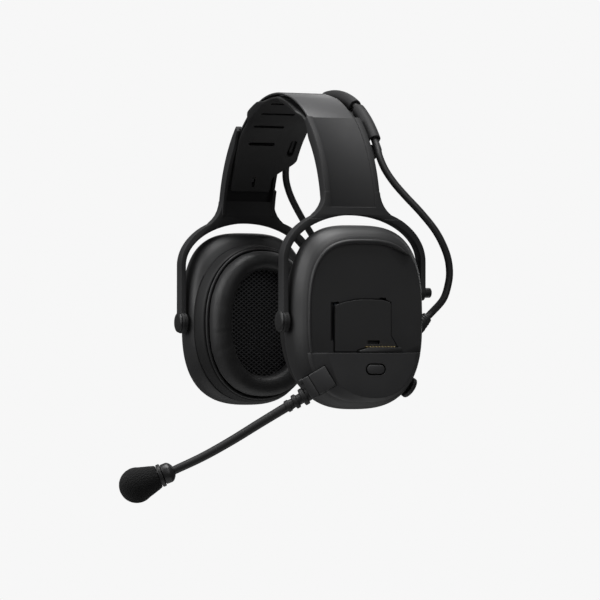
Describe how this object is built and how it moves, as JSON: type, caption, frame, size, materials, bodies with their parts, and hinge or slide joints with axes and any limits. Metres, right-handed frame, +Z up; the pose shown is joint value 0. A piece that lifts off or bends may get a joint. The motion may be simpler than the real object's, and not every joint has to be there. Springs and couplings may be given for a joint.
{
  "type": "headset microphone",
  "caption": "Over-head ear-cup headset with height-sliding fork arms, tilting padded cups, a clipped crossover cable and a plug-in flexible boom microphone.",
  "frame": {"origin": "middle of the underside of the comfort strap at the crown, where the headband rests on the head", "axes": "+Z up, -Y the way the wearer faces (the boom points that way), +X the wearer's left, where the boom cup is"},
  "size_m": [0.1931, 0.1911, 0.2402],
  "materials": {
    "black_plastic": "fine moulded grain, satin black",
    "black_satin": "smooth satin black",
    "strap_rubber": "soft black moulded rubber",
    "cable_rubber": "matt black jacket",
    "flex_rubber": "matt black ribbed rubber",
    "cushion_cover": "soft leatherette, faint grain",
    "foam": "open-cell black foam",
    "mesh_fabric": "black diamond net",
    "spring_steel": "brushed",
    "steel_can": "plain",
    "gold_contacts": "gold plated",
    "board": "green solder mask",
    "cell_wrap": "shrink wrap",
    "component_black": "moulded component body"
  },
  "bodies": {
    "headband": {"band_cover": "black_plastic", "spring_leaf": "spring_steel", "comfort_strap": "strap_rubber", "cable_guide_crown": "black_plastic", "cable_guide_left": "black_plastic", "cable_guide_right": "black_plastic", "cable_crown": "cable_rubber"},
    "arm_left": {"arm_left": "black_plastic", "front_stud_left": "black_plastic", "front_bush_left": "black_plastic", "rear_stud_left": "black_plastic", "cable_left": "cable_rubber"},
    "arm_right": {"arm_right": "black_plastic", "front_stud_right": "black_plastic", "front_bush_right": "black_plastic", "rear_stud_right": "black_plastic", "cable_right": "cable_rubber"},
    "cup_left": {"cup_shell_left": "black_plastic", "back_ring_left": "black_plastic", "ear_cushion_left": "cushion_cover", "mesh_cover_left": "mesh_fabric", "ear_foam_left": "foam", "baffle_left": "black_plastic", "loudspeaker_left": "steel_can", "cable_gland_left": "flex_rubber", "dock_plate": "black_satin", "battery_cell": "cell_wrap", "contact_shelf": "black_satin", "contact_comb": "gold_contacts", "pod_cover": "black_plastic", "circuit_board": "board", "button_switch": "component_black", "volume_encoder": "component_black", "boom_socket": "black_satin"},
    "cup_right": {"cup_shell_right": "black_plastic", "back_ring_right": "black_plastic", "ear_cushion_right": "cushion_cover", "mesh_cover_right": "mesh_fabric", "ear_foam_right": "foam", "baffle_right": "black_plastic", "loudspeaker_right": "steel_can", "cable_gland_right": "flex_rubber", "face_plate_right": "black_plastic"},
    "battery_hatch": {"battery_hatch": "black_satin"},
    "power_button": {"power_button": "black_satin"},
    "volume_knob": {"volume_knob": "black_plastic"},
    "boom_plug": {"boom_plug": "black_plastic", "boom_boot": "flex_rubber"},
    "boom_1": {"boom_tube_1": "flex_rubber"},
    "boom_2": {"boom_tube_2": "flex_rubber"},
    "boom_3": {"boom_tube_3": "flex_rubber"},
    "boom_4": {"boom_tube_4": "flex_rubber"},
    "microphone": {"mic_housing": "black_plastic", "mic_clamp_ring": "black_plastic", "mic_capsule": "steel_can", "foam_windscreen": "foam"}
  },
  "joints": [
    {"name": "left_height", "type": "hinge", "parent": "headband", "child": "arm_left", "pos_m": [0, 0, -0.0738], "axis": [0, 1, 0], "range_deg": [-5, 13], "deforming": ["cable_left"]},
    {"name": "right_height", "type": "hinge", "parent": "headband", "child": "arm_right", "pos_m": [0, 0, -0.0738], "axis": [0, -1, 0], "range_deg": [-5, 13], "deforming": ["cable_right"]},
    {"name": "left_cup_tilt", "type": "hinge", "parent": "arm_left", "child": "cup_left", "pos_m": [0.0762, -0.0445, -0.1313], "axis": [0, 0.9836, 0.1802], "range_deg": [-12, 12], "deforming": ["cable_left"]},
    {"name": "right_cup_tilt", "type": "hinge", "parent": "arm_right", "child": "cup_right", "pos_m": [-0.0762, -0.0445, -0.1313], "axis": [0, 0.9836, 0.1802], "range_deg": [-12, 12], "deforming": ["cable_right"]},
    {"name": "hatch_pull", "type": "slide", "parent": "cup_left", "child": "battery_hatch", "axis": [1, 0, 0], "range_m": [0, 0.01]},
    {"name": "button_press", "type": "slide", "parent": "cup_left", "child": "power_button", "axis": [-1, 0, 0], "range_m": [0, 0.0008], "stiffness_N_per_m": 1200, "springref_m": -0.0005},
    {"name": "volume_turn", "type": "hinge", "parent": "cup_left", "child": "volume_knob", "pos_m": [0.08, 0.0363, -0.1701], "axis": [0, 0.8468, -0.5319], "range_deg": [0, 300]},
    {"name": "boom_unplug", "type": "slide", "parent": "cup_left", "child": "boom_plug", "axis": [-0.3486, -0.783, -0.5151], "range_m": [0, 0.014]},
    {"name": "boom_inward_1", "type": "hinge", "parent": "boom_plug", "child": "boom_1", "pos_m": [0.08331, -0.04399, -0.1801], "axis": [-0.2095, -0.4706, 0.8571], "range_deg": [-15, 15]},
    {"name": "boom_lift_1", "type": "hinge", "parent": "boom_1", "child": "boom_2", "pos_m": [0.07709, -0.05797, -0.1894], "axis": [0.9135, -0.4067, 0], "range_deg": [-15, 15]},
    {"name": "boom_inward_2", "type": "hinge", "parent": "boom_2", "child": "boom_3", "pos_m": [0.07082, -0.07203, -0.1989], "axis": [-0.2095, -0.4706, 0.8571], "range_deg": [-15, 15]},
    {"name": "boom_lift_2", "type": "hinge", "parent": "boom_3", "child": "boom_4", "pos_m": [0.06436, -0.08656, -0.2078], "axis": [0.9135, -0.4067, 0], "range_deg": [-15, 15]},
    {"name": "boom_inward_3", "type": "hinge", "parent": "boom_4", "child": "microphone", "pos_m": [0.05781, -0.10127, -0.2154], "axis": [-0.2095, -0.4706, 0.8571], "range_deg": [-15, 15]}
  ],
  "couplings": [
    {"joint": "boom_inward_2", "follows": "boom_inward_1", "ratio": 1},
    {"joint": "boom_inward_3", "follows": "boom_inward_1", "ratio": 1},
    {"joint": "boom_lift_2", "follows": "boom_lift_1", "ratio": 1}
  ]
}
